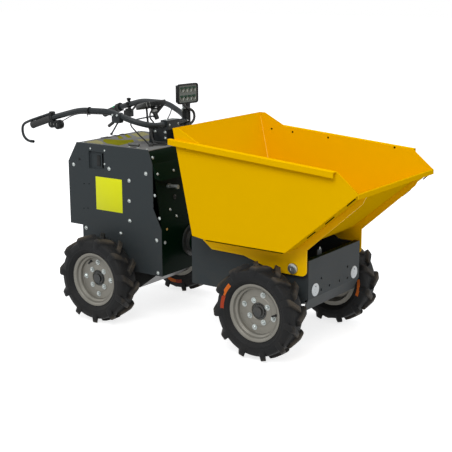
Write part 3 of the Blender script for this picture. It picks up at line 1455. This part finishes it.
# ---------------------------------------------------------------- handlebar
@dataclass(frozen=True)
class Handlebar:
    """Grips, levers, pods, switches and held cables on the handlebar.

    Attributes:
        bar_end: end of each arm, Y on the left.
        bar_grip: where each arm leaves the grip.
        grip_r: radius of a grip.
        grip_length: length of a grip.
        lever_foot: foot of the thumb lever on the left arm.
        lever_tip: its tip.
    """

    bar_end: Point = (-425, 245, 836)
    bar_grip: Point = (-310, 226, 877)
    grip_r: float = 16.5
    grip_length: float = 108.0
    lever_foot: Point = (-231.5, 208.5, 856)
    lever_tip: Point = (-179.5, 194.5, 899)

    def build(self) -> None:
        """Make everything on both arms."""
        self.bar()
        for side, node in ((-1, "grip_right"), (1, "grip_left")):
            self.grip(side, node)
        self.lever_clamp()
        self.grip_pod()
        self.guard()
        self.left_switches()
        self.tie()

    def bar(self) -> None:
        """Make the bar itself, with softer bends than the plain tube has."""
        arm = ((178, 118, 860), (112, 172, 882), (3, 196, 920),
               (-159, 212, 918), self.bar_grip, self.bar_end)
        line = [(x, -y, z) for x, y, z in reversed(arm)] + list(arm)
        Kit().tube(line, 13, 42, 28).done("handlebar_bent_tube", BLACK_TUBE, "handlebar",
                                          replace=True)

    def along_arm(self, side: int, x: float) -> tuple[Vector, Vector]:
        """Find a spot on the straight end of an arm.

        Args:
            side: 1 for the left arm, -1 for the right one.
            x: the spot's X.

        Returns:
            The spot on the arm's axis, and the axis towards the front.
        """
        end = Vector(self.bar_end)
        front = Vector(self.bar_grip)
        end.y *= side
        front.y *= side
        axis = (front - end).normalized()
        return end + axis * ((x - end.x) / axis.x), axis

    def grip(self, side: int, node: str) -> None:
        """Make one ribbed rubber grip with its closed end.

        Args:
            side: 1 for the left arm, -1 for the right one.
            node: the node that it stands for.
        """
        end, axis = self.along_arm(side, self.bar_end[0])
        radius, length = self.grip_r, self.grip_length
        profile = [(-4, 0), (-4, radius - 2.5), (-3.2, radius - 0.8), (-2, radius), (5, radius)]
        reach = 7
        while reach < length - 12:
            profile += [(reach, radius - 1.5), (reach + 1.2, radius - 1.5),
                        (reach + 1.9, radius - 0.4), (reach + 4.3, radius - 0.4)]
            reach += 6.2
        profile += [(length - 8, radius), (length - 1, radius), (length, radius - 1),
                    (length, 13.1), (0, 13.1), (0, 0)]
        Kit().lathe(end, axis, profile, 28).done(
            f"{node}_ribbed", BLACK_RUBBER, node, replace=True, smooth_degrees=50)

    def lever_clamp(self) -> None:
        """Make the clamp on the right arm with its two levers."""
        kit = Kit()
        kit.block((14, -206, 873), (60, -172, 918), 7, segments=3)
        kit.tube(((34, -196, 885), (-9, -196, 856)), 4, 4, 14)
        kit.tube(((51, -196, 885), (30, -196, 855), (6, -196, 823)), 3.5, 10)
        kit.lathe((6, -196, 823), (-0.5, 0, -0.85), self.ball(6), 18)
        kit.done("lever_clamp_detailed", BLACK_TUBE, "lever_clamp", replace=True)
        toward = Vector((43, 0, 29)).normalized()
        knob = [(-0.6, 0), (-0.6, 5), (0.6, 6.6), (2.5, 7)]
        for step in range(5):
            start = 4 + step * 5.4
            knob += [(start, 7), (start + 0.9, 6.3), (start + 2, 6.3), (start + 2.9, 7)]
        knob += [(31.5, 7), (33.5, 6.2), (34, 4.2)]
        Kit().lathe((-9, -196, 856), toward, knob, 18).done(
            "knob_lever_sleeve", BLACK_RUBBER, "lever_clamp")
        bolts = Kit()
        for x in (24, 50):
            bolts.lathe((x, -206, 908), (0, -1, 0), (
                (0, 5), (3.2, 4.8), (4, 4), (4, 2.2), (2.4, 2.1), (2.3, 0)), 14)
        bolts.done("lever_clamp_bolts", ZINC, "lever_clamp")

    @staticmethod
    def ball(radius: float) -> list[tuple[float, float]]:
        """Give the profile of a ball about the axis's start.

        Args:
            radius: the ball's radius.

        Returns:
            (distance, radius) points from end to end.
        """
        return [(-radius * math.cos(math.pi * i / 10), radius * math.sin(math.pi * i / 10))
                for i in range(11)]

    def grip_pod(self) -> None:
        """Make the double housing under the right arm."""
        kit = Kit()
        for x, z, radius in ((-313, 849, 19), (-276, 847, 21)):
            kit.lathe((x, -215, z), (0, -1, 0), (
                (0, radius - 3), (0.9, radius - 0.9), (3, radius), (24, radius),
                (26.4, radius - 0.8), (27.4, radius - 2.6), (27.6, radius - 6),
                (29.9, radius - 6.6), (30, radius - 9), (28.8, radius - 9.6), (28.8, 0)), 32)
        kit.block((-312, -244, 840), (-277, -216, 857), 3)
        spot, axis = self.along_arm(-1, -315)
        kit.lathe(spot - axis * 3, axis, (
            (0, 13.2), (0, 16), (0.6, 16.5), (5.4, 16.5), (6, 16), (6, 13.2)), 32)
        kit.block((-321, -238, 852), (-309, -222, 872), 2)
        kit.done("grip_pod_detailed", BLACK_PLASTIC, "grip_pod", replace=True)
        trim = Kit()
        for x, z in ((-313, 849), (-276, 847)):
            trim.block((x - 1.2, -245.2, z - 7), (x + 1.2, -243.2, z + 7), 0.5)
        trim.lathe((-294.5, -244, 849), (0, -1, 0), ((0, 3), (1.2, 2.8), (1.6, 1.4), (1.6, 0)), 12)
        trim.done("grip_pod_trim", SILVER_PLASTIC, "grip_pod")

    def guard(self) -> None:
        """Make the safety lever on the right grip, with its sleeve and its pivot."""
        kit = Kit()
        kit.tube(((-309, -226, 898.6), (-437, -245.6, 856), (-491, -246.4, 834), (-491, -247, 786),
                  (-461, -247, 760.2), (-421, -247, 760.2)), 6, 26, 20)
        kit.lathe((-421, -247, 760.2), (1, 0, 0), (
            (-22, 6.1), (-21, 6.9), (-2, 6.9), (-0.6, 6.2), (0, 4.4), (0, 0)), 20)
        kit.done("guard_lever_smooth", BLACK_TUBE, "guard_lever", replace=True)
        pivot = Kit()
        pivot.block((-330, -237, 881), (-308, -215, 903), 4)
        pivot.lathe((-318, -238.6, 892), (0, -1, 0), (
            (0, 6.4), (2.4, 6.2), (3.2, 5.2), (3.2, 0)), 16)
        pivot.done("guard_lever_pivot", BLACK_PLASTIC, "guard_lever")

    def left_switches(self) -> None:
        """Make the switches on the left arm."""
        DRESSER.rounded("switch_box", 2, BLACK_PLASTIC, shortest=4)
        spot, axis = self.along_arm(1, -350)
        kit = Kit()
        kit.lathe(spot, axis, ((24, 13.3), (24, 19.6), (25.2, 21), (31, 21), (32, 19.6), (44, 19.6),
                               (45, 21), (49, 21), (50, 19.6), (50, 13.3)), 32)
        knob, _ = self.along_arm(1, -244)
        kit.lathe(knob + Vector((0, 0, 10)), (0, 0, 1), (
            (0, 8), (6, 7.4), (7, 9.6), (9, 11), (13, 10.8), (15.6, 8.6), (16.8, 4), (17, 0)), 24)
        kit.lathe(knob + Vector((0, -12, 1)), (0, -1, 0), (
            (0, 7), (5, 6.6), (6, 5.4), (6.2, 0)), 18)
        kit.block((-266, 200, 838), (-222, 203, 868), 1.2)
        start, end = Vector(self.lever_foot), Vector(self.lever_tip)
        along = (end - start).normalized()
        reach = (end - start).length
        kit.lathe(start, along, (
            (reach * 0.30, 3.6), (reach * 0.34, 4.6), (reach * 0.9, 5.2), (reach - 1, 4.6),
            (reach + 1.6, 2.4), (reach + 2, 0)), 16)
        kit.done("left_switch_parts", BLACK_PLASTIC, "switch_box")
        button, _ = self.along_arm(1, -346)
        housing = Kit()
        out = Vector((0, -0.62, 0.78))
        housing.lathe(button + out * 11, out, (
            (0, 9), (3.4, 8.8), (4.6, 7.8), (4.8, 6), (4.2, 0)), 24)
        housing.done("left_button_housing", BLACK_PLASTIC, "grip_left")
        Kit().lathe(button + out * 14.6, out, (
            (0, 6.6), (2.6, 6.2), (3.6, 5), (3.9, 0)), 20).done(
            "left_button", BUTTON_GREEN, "grip_left")

    def tie(self) -> None:
        """Make the tie that holds the grip's cable to the right arm."""
        x, y, z = -107, -207.6, 919.3
        axis = Vector((162, 16, 4)).normalized()
        kit = Kit()
        kit.lathe(Vector((x, y - 1.6, z - 1.6)) - axis * 1.6, axis, (
            (0, 12.8), (0, 17.6), (3.2, 17.6), (3.2, 12.8)), 28)
        kit.block((x - 2, y - 17, z - 20), (x + 2, y - 12, z - 12), 0.8)
        kit.tube(((x, y - 15, z - 16), (x + 2, y - 17, z - 29)), 1, 1, 6)
        kit.done("cable_ties", BLACK_PLASTIC, "handlebar")


# ---------------------------------------------------------------- control box
@dataclass(frozen=True)
class ControlBox:
    """Control box on the mast with its display, end cap and cables.

    Attributes:
        middle: the box's middle.
        tilt: degrees that its rear end is raised, minus where it is lowered.
    """

    middle: Point = (72, 0, 935)
    tilt: float = -18.0

    def build(self) -> None:
        """Make the box, its details and its cables."""
        self.case()
        self.end_cap()
        self.details()
        self.cords()
        self.mast_foot()

    def tilted(self, kit: Kit, name: str, finish: Finish) -> None:
        """Tilt a kit that was made for a level box, and finish it."""
        kit.turned(self.middle, self.tilt, "Y").done(name, finish, "console")

    def case(self) -> None:
        """Make the flat case, with a lid seam and a bead round it, its post and its bracket."""
        x, _, z = self.middle
        kit = Kit()
        kit.block((x - 28, -66, z - 11), (x + 28, 74, z + 12), 3, segments=3)
        kit.block((x - 29, -64, z + 3), (x + 29, 75, z + 5), 0.8)
        for y in (-40, -8, 24, 56):
            kit.block((x - 20, y, z - 13), (x + 24, y + 5, z - 10), 0.8)
        kit.turned(self.middle, self.tilt, "Y")
        kit.rod((105, 0, 874), (79, 0, 924), 10.5, 24)
        kit.plate(((88, -8, 920), (88, 72, 930), (88, 18, 893), (88, 16, 880), (88, -8, 880)),
                  (4, 0, 0), 0.8)
        kit.done("console_detailed", BLACK_PLASTIC, "console", replace=True)

    def end_cap(self) -> None:
        """Make the pointed cap on the box's right end."""
        x, _, z = self.middle
        kit = Kit()
        skin(kit.bm, [
            [kit.bm.verts.new(DATUM.at(x + sx * half_x, y, z + height)) for sx,
             height in ((-1, low), (1, low), (1, high), (-1, high))] for y, half_x, low, high in (
            (-60, 27, -10.4, 11.4), (-67, 27, -10.4, 11.4), (-78, 24, -10.6, 5),
            (-91, 15, -10, -5))])
        round_edges(kit.bm, 1.6)
        self.tilted(kit, "console_cap", CAP_GREY)

    def details(self) -> None:
        """Make the pale ridges, the display towards the operator, the knobs and the collar."""
        x, y, z = self.middle
        ridges, knobs = Kit(), Kit()
        for edge, high in ((-64, 12.4), (-42, 12.8)):
            ridges.block((x + 22, edge - 1.6, z - 10), (x + 28.8, edge + 1.6, z + high), 0.7)
            ridges.block((x - 26, edge - 1.6, z + high - 2.4),
                         (x + 28.8, edge + 1.6, z + high), 0.7)
        ridges.block((x + 8, -88, z - 8.6), (x + 14, -60, z - 2.6), 0.8)
        self.tilted(ridges, "console_ridges", SILVER_PLASTIC)
        self.tilted(
            Kit().block((x - 29.4, y - 30, z - 8), (x - 27.8, y + 34, z + 9), 0.6),
            "console_display", LAMP_FACE)
        for side in (-1, 1):
            knobs.lathe((x - 28, y + 4 + side * 50, z), (-1, 0, 0), (
                (-1, 8), (1.6, 8), (2, 6.8), (6.4, 6.2), (7.2, 5.2), (7.2, 0)), 18)
        self.tilted(knobs, "console_knobs", BLACK_RUBBER)
        Kit().lathe((85.2, 0, 912), (26, 0, -50), (
            (0, 11), (0, 13.6), (1, 14.4), (10, 14.4), (11, 13.6),
            (11, 11)), 24).done("console_post_collar", SILVER_PLASTIC, "console")

    def cords(self) -> None:
        """Make the cords from the box and the right arm to the lid, and the grip's cord."""
        cords, hoses = Kit(), Kit()
        cords.tube(((66, -26, 920), (76, -34, 887), (94, -52, 857), (114, -60, 825),
                    (138, -72, 788), (158, -80, 768)), 4.6, 24, 14)
        cords.tube(((100, -172, 884), (99, -176, 864), (121, -144, 820),
                    (142, -122, 791), (160, -115, 768)), 3, 14, 10)
        cords.tube(((-276, -230, 855), (-240, -229, 871), (-196, -228.5, 893), (-150, -225.5, 905),
                    (-54, -214.5, 908), (-4, -209, 909.5), (34, -200, 903)), 2.2, 30, 10)
        cords.done("control_cords_smooth", BLACK_RUBBER, "control_cords", replace=True)
        hoses.tube(((86, -8, 918), (84, -26, 900), (88, -29, 876), (102, -20, 862), (108, -40, 846),
                    (112, -47.4, 810), (118, -47.6, 779)), 3.6, 16, 12)
        hoses.tube(((60, 160, 900), (112, 84, 890), (168, -6, 880)), 2.6, 20, 10)
        hoses.done("console_hoses", BLACK_RUBBER, "console")

    def mast_foot(self) -> None:
        """Make the cable loops at the mast's foot and the glands of the cords in the lid."""
        loops, glands = Kit(), Kit()
        loops.tube(((118, -48, 776), (128, -84, 777), (166, -96, 778),
                    (204, -78, 778), (196, -48, 777)), 3.4, 16, 10)
        loops.tube(((124, -48, 780), (140, -72, 786), (172, -78, 786), (192, -48, 782)), 3.4, 14,
                   10)
        loops.done("mast_cable_loops", BLACK_RUBBER, "control_cords")
        for spot in ((158, -80, 772), (160, -116, 772)):
            glands.lathe(spot, (0, 0, 1), (
                (0, 12), (1.6, 12), (2.4, 10), (7, 9.6), (10, 7.6), (10.2, 0)), 20)
        glands.done("cord_glands", BLACK_RUBBER, "lid")


# ---------------------------------------------------------------- work lamp
@dataclass(frozen=True)
class WorkLamp:
    """Square work lamp with two rows of cups, cooling fins and its foot.

    Attributes:
        middle: the lamp's middle.
        yaw: degrees that it is turned.
        width: across the lamp.
        height: from its lower to its upper edge.
        corner_r: radius of its corners.
    """

    middle: Point = (176, 120, 981)
    yaw: float = -8.0
    width: float = 126.0
    height: float = 89.0
    corner_r: float = 13.0

    def build(self) -> None:
        """Make the lamp, its foot and its hose."""
        self.housing()
        self.cells()
        DRESSER.rounded("lamp_bracket", 1, BLACK_PLASTIC, shortest=4)
        self.foot()
        Kit().tube(((184, 84, 938), (191, 98, 922), (201, 142, 903), (201, 148, 865),
                    (201, 112, 843), (186, 104, 843)), 6.2, 22, 14, ribs=1.2).done(
            "lamp_conduit_ribbed", BLACK_RUBBER, "lamp_conduit", replace=True)

    def part(self, kit: Kit, name: str, finish: Finish, replace: bool = False) -> None:
        """Turn a kit that was made for a lamp facing straight ahead, and finish it."""
        kit.turned(self.middle, self.yaw, "Z").done(name, finish, "lamp", replace)

    def outline(self, kit: Kit, x: float, inset: float) -> list[bmesh.types.BMVert]:
        """Add a rounded rectangle across the lamp.

        Args:
            x: ahead of the lamp's middle.
            inset: how far it lies inside the lamp's outline.

        Returns:
            Its points in order.
        """
        half_y, half_z = self.width / 2 - inset, self.height / 2 - inset
        radius = max(self.corner_r - inset, 2)
        points = []
        for corner, (sy, sz) in enumerate(((1, 1), (-1, 1), (-1, -1), (1, -1))):
            for step in range(6):
                angle = math.radians(90 * corner + 18 * step)
                points.append(kit.bm.verts.new(DATUM.at(
                    self.middle[0] + x,
                    self.middle[1] + sy * (half_y - radius) + radius * math.cos(angle),
                    self.middle[2] + sz * (half_z - radius) + radius * math.sin(angle))))
        return points

    def housing(self) -> None:
        """Make the housing with its raised frame, fins and foot."""
        x, y, z = self.middle
        kit = Kit()
        skin(kit.bm, [self.outline(kit, ahead, inset) for ahead, inset in (
            (3, 1.2), (4.2, 0), (13.4, 0), (14.6, 0.6), (15, 1.8), (15, 5.6), (14.2, 6.4), (9, 7))])
        for index in range(9):
            fin_y = y - self.width / 2 + self.corner_r + index * 13.5
            kit.block((x - 15, fin_y - 1.5, z - 38.5), (x + 4, fin_y + 1.5, z + 38.5), 0.9)
        kit.block((x - 11, y - 15, z - 63.5), (x + 11, y + 15, z - 41.5), 2)
        self.part(kit, "lamp_housing", BLACK_PLASTIC, replace=True)

    def cells(self) -> None:
        """Make the grey face and the dark green hood, bright cup and dark bar of each cell."""
        face, hoods, cups, bars = Kit(), Kit(), Kit(), Kit()
        skin(face.bm, [self.outline(face, 8.6, 6.4), self.outline(face, 10.2, 6.6)])
        x = self.middle[0]
        for up in (18.5, -18.5):
            for left in (-37.5, -12.5, 12.5, 37.5):
                y, z = self.middle[1] + left, self.middle[2] + up
                hoods.block((x + 10, y - 9.6, z + 1.6), (x + 13.4, y + 9.6, z + 12), 1.4)
                cups.lathe((x + 9.4, y, z - 1), (1, 0, 0), (
                    (0, 10.6), (3.4, 11.4), (3.8, 11), (3.4, 10.4), (1.6, 6), (1.2, 0)), 20)
                bars.block((x + 10.4, y - 1.6, z - 11), (x + 13.4, y + 1.6, z + 1), 0.4)
        self.part(face, "lamp_face", LAMP_FACE)
        self.part(hoods, "lamp_boards", LAMP_BOARD)
        self.part(cups, "lamp_cups", LAMP_CUP)
        self.part(bars, "lamp_diodes", LAMP_DIODE)

    def foot(self) -> None:
        """Make the bolt, washers and bright bits of the lamp's foot."""
        foot = Kit()
        foot.rod((176, 102, 926), (176, 138, 926), 5)
        foot.block((168, 103, 914), (184, 105.2, 936), 0.8)
        foot.block((168, 134.8, 914), (184, 137, 936), 0.8)
        foot.lathe((176, 102, 926), (0, -1, 0), ((0, 7.5), (4.5, 7.5), (5.2, 6.4), (5.2, 0)), 6)
        foot.block((166, 96, 902), (172, 110, 916), 1.2)
        foot.block((180, 110, 856), (187, 116, 882), 1)
        foot.block((180, 122, 862), (187, 127, 884), 1)
        foot.done("lamp_foot_bolt", ZINC, "lamp_bracket")


# ---------------------------------------------------------------- labels and small trim
@dataclass(frozen=True)
class Trim:
    """Blank label, lid patch, white reflectors, pocket switch and the latch's feet.

    Attributes:
        label_x: front and rear edges of the label.
        label_z: its lower and upper edges.
        reflectors: Y and Z of each white reflector on the nose.
        lid_top: height of the patches' undersides.
    """

    label_x: tuple[float, float] = (-78, 75)
    label_z: tuple[float, float] = (481, 630)
    reflectors: tuple[tuple[float, float], ...] = ((-153, 276), (161, 277))
    lid_top: float = 771.9

    LID_PATCHES = (
        ((-150, -70), (-115, -121), (-49, -165), (33, -179), (22, -65),
         (-30, -11), (-60, -50), (-98, -56)),
        ((-156, 24), (-156, 46), (-88, -6), (-92, -34)),
        ((-156, 74), (-156, 98), (-76, 36), (-80, 14)))
    LID_FILMS = (
        ((-160, -190), (-160, -110), (-117, -128), (-60, -172), (-60, -190)),
        ((-150, 112), (-150, 204), (-66, 153), (-60, 60)),
        ((-22, 2), (22, 61), (61, 14), (30, -36)))

    def build(self) -> None:
        """Make all small trim."""
        (x0, x1), (z0, z1) = self.label_x, self.label_z
        Kit().block((x0, -215.7, z0), (x1, -214.9, z1), 0.25).done(
            "blank_label", LABEL_YELLOW, "side_panel_right")
        for name, finish, depth, outlines in (
                ("lid_patch", LID_PATCH, 0.5, self.LID_PATCHES),
                ("lid_films", LID_FILM, 0.3, self.LID_FILMS)):
            patch = Kit()
            for outline in outlines:
                patch.plate([(x, y, self.lid_top) for x, y in outline], (0, 0, depth), 0)
            patch.done(name, finish, "lid")
        bars, discs, dots, feet = Kit(), Kit(), Kit(), Kit()
        for y, half in ((-34, 24), (36, 12), (86, 12)):
            bars.block((-186, y - half, 771.6), (-158, y + half, 774.6), 1)
        bars.done("lid_rear_pads", BLACK_RUBBER, "lid")
        for y, z in self.reflectors:
            discs.lathe((1021.9, y, z), (1, 0, 0), (
                (0, 26.5), (1.4, 26.5), (2.2, 25.8), (2.4, 24), (2.6, 22.5), (3.2, 0)), 40)
            dots.lathe((1024.4, y, z + 14), (1, 0, 0), ((0, 3.6), (0.6, 3.4), (0.8, 0)), 14)
            for dy, dz, size in ((-7, 2, 1.8), (3, 0, 1.6), (-2, -9, 1.4)):
                dots.lathe((1024.4, y + dy, z + dz), (1, 0, 0), (
                    (0, size), (0.5, size * 0.9), (0.6, 0)), 10)
        discs.done("nose_reflectors", REFLECTOR_WHITE, "nose_plate")
        dots.done("nose_reflector_screws", DARK_CAST, "nose_plate")
        Kit().block((-74, -208, 676), (-54, -204.6, 724), 1.2).done(
            "pocket_switch", BLACK_PLASTIC, "side_panel_right")
        for x in (97, 145):
            feet.lathe((x, -182, 772), (0, 0, 1), (
                (0, 8), (1.4, 7.8), (1.8, 6.4), (4, 6.2), (4.6, 5.4), (4.6, 0)), 16)
        feet.done("latch_feet", ZINC, "lid_latch")


# ---------------------------------------------------------------- studio
@dataclass(frozen=True)
class Studio:
    """Camera, floor, world and lamps.

    Attributes:
        camera_at: the camera's place, in millimetres from the rear axle.
        yaw: degrees that the camera's view turns left from +Y.
        pitch: degrees that it looks down.
        roll: degrees that it leans.
        lens: focal length for a 36 mm wide sensor, in millimetres.
    """

    camera_at: Point = (3151.2, -3728, 1504.4)
    yaw: float = 35.65
    pitch: float = 13.12
    roll: float = -0.30
    lens: float = 86.49

    WHITE = (1, 1, 1, 1)
    LAMPS = (  # name, place from the middle (m), size (m), power (W)
        ("key", (1.9, -4.4, 4.2), 3, 186),
        ("fill", (4.8, -0.6, 2.6), 3, 30),
        ("rear_fill", (-4.2, -2.2, 2.6), 3, 40),
        ("top", (0, 0.4, 4.6), 3.4, 74),
        ("far_rim", (0.6, 4.6, 3.2), 3, 34))

    def build(self) -> None:
        """Make the camera, floor, world and lamps."""
        self.make_camera()
        self.make_floor()
        self.make_world()
        self.make_lamps()
        bpy.context.scene.view_settings.view_transform = "Standard"

    def make_camera(self) -> None:
        """Make the camera."""
        data = bpy.data.cameras.new("camera")
        data.sensor_width = 36
        data.lens = self.lens
        data.clip_end = 60
        camera = bpy.data.objects.new("camera", data)
        yaw, pitch, roll = (math.radians(v) for v in (self.yaw, self.pitch, self.roll))
        ahead = Vector((
            -math.sin(yaw) * math.cos(pitch), math.cos(yaw) * math.cos(pitch), -math.sin(pitch)))
        right = Vector((math.cos(yaw), math.sin(yaw), 0))
        up = right.cross(ahead)
        leaned_right = right * math.cos(roll) + up * math.sin(roll)
        leaned_up = up * math.cos(roll) - right * math.sin(roll)
        turn = Matrix((leaned_right, leaned_up, -ahead)).transposed().to_4x4()
        camera.matrix_world = Matrix.Translation(DATUM.at(*self.camera_at)) @ turn
        bpy.context.scene.collection.objects.link(camera)
        bpy.context.scene.camera = camera

    @staticmethod
    def choose(build: TreeBuilder, kinds: Sequence[str], plain: Socket, shown: Socket) -> Socket:
        """Mix two shaders by the kind of ray.

        Args:
            build: the tree's builder.
            kinds: kinds of ray, as the Light Path node names them.
            plain: the shader for all other rays.
            shown: the shader for those kinds.

        Returns:
            The mixed shader's socket.
        """
        rays = build.add("ShaderNodeLightPath").outputs
        seen = rays[kinds[0]]
        for kind in kinds[1:]:
            seen = build.math("MAXIMUM", seen, rays[kind])
        return build.add("ShaderNodeMixShader", inputs={0: seen, 1: plain, 2: shown}).outputs[0]

    def make_floor(self) -> None:
        """Make the pale floor, which fades to white away from the machine."""
        material = bpy.data.materials.new("pale_floor")
        build = TreeBuilder.afresh(material)
        plain = build.add("ShaderNodeBsdfDiffuse", inputs={
            "Color": (0.52, 0.52, 0.52, 1)}).outputs[0]
        away = build.add("ShaderNodeVectorMath", operation="LENGTH", inputs={
            0: build.add("ShaderNodeTexCoord").outputs["Object"]})
        white = build.math("MULTIPLY_ADD", build.ramp(away.outputs["Value"], 0.9, 2.6), 0.22, 0.78)
        glow = build.add("ShaderNodeEmission", inputs={"Color": self.WHITE, "Strength": white})
        both = build.add("ShaderNodeAddShader", inputs={0: plain, 1: glow.outputs[0]})
        build.add("ShaderNodeOutputMaterial", inputs={"Surface": self.choose(
            build, ("Is Camera Ray", "Is Glossy Ray"), plain, both.outputs[0])})
        bm = bmesh.new()
        bmesh.ops.create_grid(bm, x_segments=1, y_segments=1, size=30)
        mesh = mesh_from(bm, "floor")
        mesh.materials.append(material)
        floor = bpy.data.objects.new("floor", mesh)
        bpy.context.scene.collection.objects.link(floor)

    def make_world(self) -> None:
        """Make an even world that looks white behind the machine."""
        world = bpy.data.worlds.new("studio")
        bpy.context.scene.world = world
        build = TreeBuilder.afresh(world)
        soft, white = (
            build.add("ShaderNodeBackground", inputs={
            "Color": colour, "Strength": strength}).outputs[0] for colour,
            strength in (((0.93, 0.96, 1, 1), 0.42), (self.WHITE, 1)))
        build.add("ShaderNodeOutputWorld", inputs={"Surface": self.choose(
            build, ("Is Camera Ray", "Is Glossy Ray", "Is Transmission Ray"), soft, white)})

    def make_lamps(self) -> None:
        """Make the square soft lamps, which face the machine's middle."""
        middle = DATUM.at(430, 0, 420)
        for name, place, size, power in self.LAMPS:
            offset = Vector(place)
            data = bpy.data.lights.new(name, "AREA")
            data.size = size
            data.energy = power
            lamp = bpy.data.objects.new(name, data)
            lamp.location = middle + offset
            lamp.rotation_euler = (-offset).to_track_quat("-Z", "Y").to_euler()
            bpy.context.scene.collection.objects.link(lamp)


# ---------------------------------------------------------------- build all
def main() -> None:
    """Build every part of the scene in order."""
    logging.basicConfig(level=logging.INFO, format="%(name)s: %(message)s")
    make_groups()
    Studio().build()
    LOG.info("studio")
    for node in frame["nodes"]:
        DRESSER.paint(node)
    for part in (RunningGear(), Bodywork(), Skip(), Handlebar(), ControlBox(), WorkLamp(), Trim()):
        part.build()
        LOG.info("%s is built", type(part).__name__)


if __name__ == "__main__":
    main()
